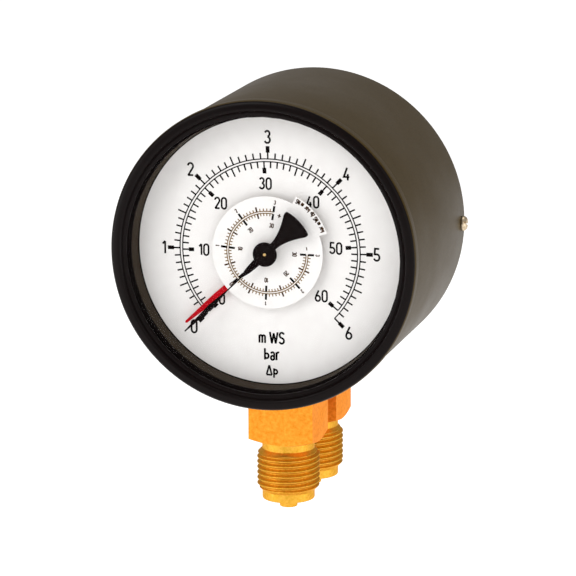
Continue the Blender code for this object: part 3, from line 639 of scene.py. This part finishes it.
def window():
    glass = frame["nodes"]["window_glass"]
    glass.data.materials.clear()
    glass.data.materials.append(LOOKS["window_glass"])
    profile = [
        (WALL_R + 0.75, WALL_TOP, 0.2),
        (WALL_SEAT_R, WALL_TOP, 0),
        (WALL_SEAT_R, 0.3, 0),
        (WALL_R, 0.3, 0.1),
        (WALL_R + 0.1, 1.2, 0.2),
    ]
    ring = turned(filleted(profile))
    finished("dial_wall", ring, LOOKS["wall_paint"], CASE, ["spacer_ring"])
    rim_in, rim_out = WALL_R - 0.3, WALL_R + 1.5
    rim = [(rim_in, 0.02), (rim_in, 0.28), (rim_out, 0.28), (rim_out, 0.02)]
    finished("dial_rim", turned(rim), LOOKS["rubber"], CASE)


def case():
    outer = radius_of("case_shell")
    back, front = dial_depths("case_shell")
    profile = [
        (outer - CASE_WALL, front, 0),
        (outer, front, 0.3),
        (outer, back, 0.9),
        (outer - CASE_WALL, back, 0.3),
    ]
    shell = finished(
        "case", turned(filleted(profile)), LOOKS["case_paint"], CASE, ["case_shell"]
    )
    for name in ("front", "rear"):
        y = stem_place(name)[1]
        slot = block_of((NECK_X + 0.6, NECK_Y + 0.6, 8.0))
        place = Matrix.Translation((AXIS_X, y, AXIS_Z - outer * MM))
        carve(shell, helper(slot, place))
    crisp(shell)


def rear_cover():
    outer = SKIRT_R
    back = COVER_DEPTH - COVER_THICK
    profile = [
        (0, COVER_DEPTH, 0),
        (outer - 1.8, COVER_DEPTH, 0.5),
        (outer - 0.8, COVER_DEPTH + 1.0, 0.3),
        (outer - 0.8, COVER_STEP, 0),
        (outer, COVER_STEP, 0),
        (outer, COVER_DEPTH + 0.6, 0.6),
        (outer - 1.6, back, 1.0),
        (0, back, 0),
    ]
    cover = finished(
        "cover", turned(filleted(profile)), LOOKS["case_paint"], CASE, ["rear_cover"]
    )
    notch = block_of((NECK_X + 3, 12, 6))
    place = Matrix.Translation((AXIS_X, DIAL_Y + 54.3 * MM, AXIS_Z - 49 * MM))
    carve(cover, helper(notch, place))
    crisp(cover)


def cover_screws():
    """Slotted pan heads in the side of the case."""
    head_r, head_h = 2.5, 1.6
    for side in ("left", "right"):
        low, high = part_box("cover_screw_" + side)
        sign = 1 if side == "right" else -1
        seat = high.x - head_h * MM if sign > 0 else low.x + head_h * MM
        place = Matrix.Translation((seat, (low.y + high.y) / 2, (low.z + high.z) / 2))
        place = place @ Matrix.Rotation(sign * math.pi / 2, 4, "Y")
        profile = [
            (0, head_h, 0),
            (0.72 * head_r, head_h, 0.8),
            (head_r, 0.45 * head_h, 0.6),
            (head_r, 0, 0.1),
            (1.45, 0, 0),
            (1.45, -4, 0.2),
            (0, -4, 0),
        ]
        screw = finished(
            "side_screw_" + side, turned(filleted(profile), 48), LOOKS["steel"], CASE,
            ["cover_screw_" + side], place,
        )
        turn = Matrix.Rotation(math.radians(70), 4, "Z")
        slot = helper(block_of((6.0, 0.7, 1.6), (0, 0, 1.55)), place @ turn)
        carve(screw, slot)
        crisp(screw)


# ------------------------------------------------------------------ tubes and connections


def bourdon_tube(name):
    """Flat-oval tube of a movement, which bends between the case and its free end."""
    low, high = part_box(name + "_bourdon_tube")
    depth = (low.y + high.y) / 2
    half_wide = (high.y - low.y) / 2 / MM
    corner_cut = 0.9 * TUBE_HALF_THICK
    section = filleted([
        (TUBE_R - TUBE_HALF_THICK, -half_wide, corner_cut),
        (TUBE_R + TUBE_HALF_THICK, -half_wide, corner_cut),
        (TUBE_R + TUBE_HALF_THICK, half_wide, corner_cut),
        (TUBE_R - TUBE_HALF_THICK, half_wide, corner_cut),
    ], 5)
    steps = 96
    work = bmesh.new()
    rings = []
    for step in range(steps + 1):
        x, y = polar(1.0, TUBE_ROOT + (TUBE_END - TUBE_ROOT) * step / steps)
        rings.append([work.verts.new((r * x, r * y, z)) for r, z in section])
    for ring, following in zip(rings, rings[1:]):
        for i in range(len(section)):
            j = (i + 1) % len(section)
            work.faces.new((ring[i], following[i], following[j], ring[j]))
    work.faces.new(rings[0])
    work.faces.new(rings[-1])
    place = Matrix.Translation((AXIS_X, depth, AXIS_Z)) @ Matrix.Rotation(math.pi / 2, 4, "X")
    tube = finished(
        name + "_tube", work, LOOKS["movement_brass"], None,
        [name + "_bourdon_tube"], place,
    )
    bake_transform(tube)


def stem_place(name):
    """Centre of a connection's sealing face."""
    low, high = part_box(name + "_socket")
    return Vector(((low.x + high.x) / 2, (low.y + high.y) / 2, low.z + SPIGOT_LENGTH * MM))


def thread_radius(turn_share, height):
    """Radius of a 55 degree thread with rounded crests, turned down at both ends."""
    ridge = 1 - abs(2 * (turn_share % 1.0) - 1)
    flank = min(1.0, max(0.0, (ridge - 0.14) / 0.72))
    flank = flank * flank * (3 - 2 * flank) * 0.35 + flank * 0.65
    thread = THREAD_ROOT_R + (THREAD_R - THREAD_ROOT_R) * flank
    runout = COLLAR_R + min(height - THREAD_LOW, THREAD_HIGH - height)
    return min(thread, max(runout, COLLAR_R))


def threaded_stem(name, place):
    """Spigot, collar, helical thread and neck of a connection, as one closed turned body."""
    foot = filleted([
        (PORT_R, -SPIGOT_LENGTH, 0.15),
        (SPIGOT_R, -SPIGOT_LENGTH, 0.5),
        (SPIGOT_R, 0, 0.15),
        (COLLAR_R, 0, 0.5),
        (COLLAR_R, THREAD_LOW - 0.05, 0),
        (0, THREAD_LOW - 0.05, 0),
        (0, 8, 0),
        (PORT_R, 8, 0),
    ])
    bore = [(0, 8.0), (PORT_R, 8.0)]
    lower = bore + foot[:-3]
    upper = [(COLLAR_R, THREAD_HIGH + 0.05), (COLLAR_R, BLOCK_LOW + 1.5), (0, BLOCK_LOW + 1.5)]
    turns = math.ceil((THREAD_HIGH - THREAD_LOW) / THREAD_PITCH) + 1
    work = bmesh.new()
    columns = []
    for column in range(THREAD_COLUMNS + 1):
        angle = math.tau * column / THREAD_COLUMNS
        points = list(lower)
        for row in range(-THREAD_ROWS, turns * THREAD_ROWS + 1):
            share = row / THREAD_ROWS
            height = THREAD_LOW + (share + column / THREAD_COLUMNS) * THREAD_PITCH
            height = min(THREAD_HIGH, max(THREAD_LOW, height))
            points.append((thread_radius(share + 0.75, height), height))
        points += upper
        x, y = math.cos(angle), math.sin(angle)
        columns.append([work.verts.new((r * x, r * y, z)) for r, z in points])
    for first, second in zip(columns, columns[1:]):
        for i in range(len(first) - 1):
            work.faces.new((first[i], second[i], second[i + 1], first[i + 1]))
    return finished(
        name + "_thread", work, LOOKS["turned_brass"], CASE, [name + "_socket"],
        place, 50,
    )


def connection(name):
    foot = Matrix.Translation(stem_place(name))
    threaded_stem(name, foot)
    axis_height = (AXIS_Z - stem_place(name).z) / MM
    top = axis_height - BLOCK_REACH
    size = (BLOCK_X, BLOCK_Y, top - BLOCK_LOW)
    block = finished(
        name + "_block", block_of(size, (0, 0, (top + BLOCK_LOW) / 2)), LOOKS["socket_brass"], CASE,
        [name + "_socket"], foot,
    )
    flat_r = BLOCK_Y / 2
    rise = 2 * flat_r * math.tan(math.radians(BLOCK_CHAMFER))
    chamfer = turned([
        (0, top + 20),
        (3 * flat_r, top + 20),
        (3 * flat_r, BLOCK_LOW + rise),
        (flat_r, BLOCK_LOW),
        (0, BLOCK_LOW),
    ])
    carve(block, helper(chamfer, foot), "INTERSECT")
    back, front = dial_depths("case_shell")
    saddle_r = radius_of("case_shell") + 0.15
    saddle = [(0, front + 20), (saddle_r, front + 20), (saddle_r, back - 20), (0, back - 20)]
    carve(block, helper(turned(saddle), IN_DIAL))
    neck_low, neck_top = axis_height - NECK_REACH[0], axis_height - NECK_REACH[1]
    neck = block_of((NECK_X, NECK_Y, neck_top - neck_low), (0, 0, (neck_low + neck_top) / 2))
    carve(block, helper(neck, foot), "UNION")
    softened = block.modifiers.new("edges", "BEVEL")
    softened.width = 0.12 * MM
    softened.segments = 2
    softened.limit_method = "ANGLE"
    softened.angle_limit = math.radians(40)
    crisp(block)


# ------------------------------------------------------------------ pointer


def pointer_edge():
    """Outline of the pointer along +X: needle, hub, and a fan-shaped tail with hollow sides."""
    needle = [(38.2, 0.2), (26.0, 0.85), (18.0, 0.19), (11.2, 0.25), (8.2, 0.95), (6.2, 1.15)]
    tail_end, tail_half = 16.2, 20.0
    fan = tail_end * math.sin(math.radians(tail_half))
    side = []
    steps = 10
    for step in range(steps + 1):
        share = 0.9 * step / steps
        side.append((-(4.2 + 10.6 * share), 1.25 + (fan - 1.25) * share**1.7))
    crown = arc(tail_end, 180 - 0.85 * tail_half, 180 + 0.85 * tail_half, 12)
    side_end, peak, crown_start = side[-1], polar(tail_end, 180 - tail_half), crown[0]
    for share in (0.2, 0.4, 0.6, 0.8):
        weights = ((1 - share) ** 2, 2 * share * (1 - share), share**2)
        corner = zip(weights, (side_end, peak, crown_start))
        weighted = [(weight * x, weight * y) for weight, (x, y) in corner]
        side.append(tuple(sum(values) for values in zip(*weighted)))
    hub_r = 4.0
    front_gap = math.degrees(math.asin(1.3 / hub_r))
    rear_gap = math.degrees(math.asin(1.25 / hub_r))
    upper = needle + arc(hub_r, front_gap, 180 - rear_gap, 24) + side
    lower = [(x, -y) for x, y in side[::-1]]
    lower += arc(hub_r, 180 + rear_gap, 360 - front_gap, 24)
    return upper + crown + lower + [(x, -y) for x, y in needle[::-1]]


def pointer():
    low, high = dial_depths("pointer")
    edge = moved(pointer_edge(), 1.0, POINTER_ANGLE)
    work = bmesh.new()
    lower, upper = [[work.verts.new((x, y, z)) for x, y in edge] for z in (low, high)]
    work.faces.new(lower)
    work.faces.new(upper)
    for i in range(len(edge)):
        work.faces.new((lower[i - 1], lower[i], upper[i], upper[i - 1]))
    finished("needle", work, LOOKS["pointer_black"], POINTER, ["pointer"])
    cap = filleted([
        (0.62, high - 0.05, 0),
        (0.62, high + 0.22, 0.05),
        (3.3, high + 0.22, 0.15),
        (3.6, high + 0.05, 0.1),
        (3.6, high - 0.05, 0),
    ])
    finished("needle_hub", turned(cap, 96), LOOKS["pointer_black"], POINTER)


# ------------------------------------------------------------------ studio


def studio():
    floor_drop = 0.2
    floor_half = 6.0
    work = bmesh.new()
    bmesh.ops.create_grid(work, x_segments=1, y_segments=1, size=floor_half)
    data = bpy.data.meshes.new("floor")
    work.to_mesh(data)
    work.free()
    floor = bpy.data.objects.new("floor", data)
    bpy.context.scene.collection.objects.link(floor)
    floor.location = (0, 0, CAD_BOX[0].z - floor_drop)
    paper = surface(
        "floor", (0.93, 0.93, 0.93), (0.96, 0.96, 0.96), (0.8, 0.9), grain=30, cloud=4, bump=0.02
    )
    data.materials.append(paper)
    shader = paper.node_tree.nodes["Principled BSDF"]
    shader.inputs["Emission Color"].default_value = (1, 1, 1, 1)
    shader.inputs["Emission Strength"].default_value = 0.55

    world = bpy.data.worlds.new("studio")
    world.use_nodes = True
    world.node_tree.nodes["Background"].inputs["Color"].default_value = (1, 1, 1, 1)
    world.node_tree.nodes["Background"].inputs["Strength"].default_value = 0.5
    bpy.context.scene.world = world

    middle = (CAD_BOX[0] + CAD_BOX[1]) / 2
    for name, place, size, power in (
        ("key", (-0.9, -1.4, 1.3), 1.2, 15.0),
        ("fill", (1.3, -1.2, 0.5), 1.4, 6.0),
        ("top", (0.1, 0.3, 1.6), 1.2, 7.0),
        ("left", (-1.3, -0.9, -0.05), 0.9, 6.0),
        ("right", (0.9, -0.1, -0.17), 0.4, 1.2),
    ):
        light = bpy.data.lights.new(name, "AREA")
        light.size = size
        light.energy = power
        lamp = bpy.data.objects.new(name, light)
        bpy.context.scene.collection.objects.link(lamp)
        lamp.location = Vector(place) + middle
        lamp.rotation_euler = Vector(place).to_track_quat("Z", "Y").to_euler()


def camera():
    azimuth = math.radians(CAMERA_AZIMUTH)
    elevation = math.radians(CAMERA_ELEVATION)
    roll = math.radians(CAMERA_ROLL)
    level = math.cos(elevation)
    forward = Vector((-math.sin(azimuth) * level, math.cos(azimuth) * level, -math.sin(elevation)))
    right = forward.cross(Vector((0, 0, 1))).normalized()
    up = right.cross(forward)
    across = right * math.cos(roll) + up * math.sin(roll)
    above = up * math.cos(roll) - right * math.sin(roll)
    turn = Matrix((across, above, -forward)).transposed().to_4x4()
    data = bpy.data.cameras.new("camera")
    data.lens = CAMERA_LENS
    data.sensor_width = 36
    data.clip_start = 0.05
    data.clip_end = 50
    stand = bpy.data.objects.new("camera", data)
    bpy.context.scene.collection.objects.link(stand)
    stand.matrix_world = Matrix.Translation(CAMERA_PLACE) @ turn
    bpy.context.scene.camera = stand
    bpy.context.scene.view_settings.view_transform = "Standard"


# ------------------------------------------------------------------ the gauge


def finish_cad_nodes():
    """Gives every CAD node the look of its slot."""
    for part in frame["record"]["subparts"]:
        data = frame["nodes"][part["node"]].data
        data.materials.clear()
        data.materials.append(LOOKS[part["material_slot"]])


finish_cad_nodes()
bezel()
window()
case()
rear_cover()
cover_screws()
for system in ("front", "rear"):
    bourdon_tube(system)
    connection(system)
dial_printing()
difference_sign()
disc_printing()
tab_printing()
pointer()
studio()
camera()
